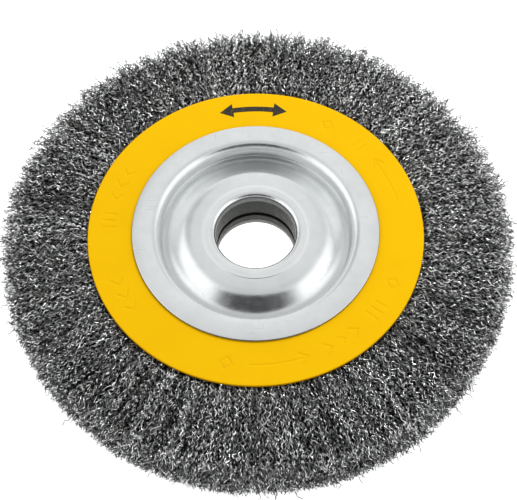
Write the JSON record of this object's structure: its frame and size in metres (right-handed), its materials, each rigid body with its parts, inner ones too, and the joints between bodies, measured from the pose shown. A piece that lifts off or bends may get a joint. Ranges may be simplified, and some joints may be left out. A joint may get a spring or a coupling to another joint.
{
  "type": "crimped wire wheel brush",
  "caption": "Circular crimped steel wire brush for a bench grinder: yellow side plates, pressed zinc-plated hub with a lined bore, and a wide face of radial wires.",
  "frame": {"origin": "on the arbor axis, halfway between the two sides of the wheel", "axes": "+Z along the arbor axis towards the front side, the one with the longer bushing; the wheel lies flat; X and Y are any two radial directions"},
  "size_m": [0.2, 0.2, 0.0276],
  "materials": {
    "yellow_paint": "satin enamel on flat sheet steel",
    "zinc_plate": "bright zinc plating on drawn sheet steel",
    "dark_steel": "plain oiled steel",
    "wire_steel": "crimped carbon steel wire, about 0.3 mm thick"
  },
  "bodies": {
    "root": {"front_side_plate": "yellow_paint", "rear_side_plate": "yellow_paint", "front_hub_flange": "zinc_plate", "rear_hub_flange": "zinc_plate", "front_bore_bushing": "zinc_plate", "rear_bore_bushing": "zinc_plate", "spacer_sleeve": "dark_steel", "wire_retaining_ring": "dark_steel", "wire_bundle_01": "wire_steel", "wire_bundle_02": "wire_steel", "wire_bundle_03": "wire_steel", "wire_bundle_04": "wire_steel", "wire_bundle_05": "wire_steel", "wire_bundle_06": "wire_steel", "wire_bundle_07": "wire_steel", "wire_bundle_08": "wire_steel", "wire_bundle_09": "wire_steel", "wire_bundle_10": "wire_steel", "wire_bundle_11": "wire_steel", "wire_bundle_12": "wire_steel", "wire_bundle_13": "wire_steel", "wire_bundle_14": "wire_steel", "wire_bundle_15": "wire_steel", "wire_bundle_16": "wire_steel", "wire_bundle_17": "wire_steel", "wire_bundle_18": "wire_steel", "wire_bundle_19": "wire_steel", "wire_bundle_20": "wire_steel", "wire_bundle_21": "wire_steel", "wire_bundle_22": "wire_steel", "wire_bundle_23": "wire_steel", "wire_bundle_24": "wire_steel", "wire_bundle_25": "wire_steel", "wire_bundle_26": "wire_steel", "wire_bundle_27": "wire_steel", "wire_bundle_28": "wire_steel", "wire_bundle_29": "wire_steel", "wire_bundle_30": "wire_steel", "wire_bundle_31": "wire_steel", "wire_bundle_32": "wire_steel", "wire_bundle_33": "wire_steel", "wire_bundle_34": "wire_steel", "wire_bundle_35": "wire_steel", "wire_bundle_36": "wire_steel"}
  },
  "joints": []
}
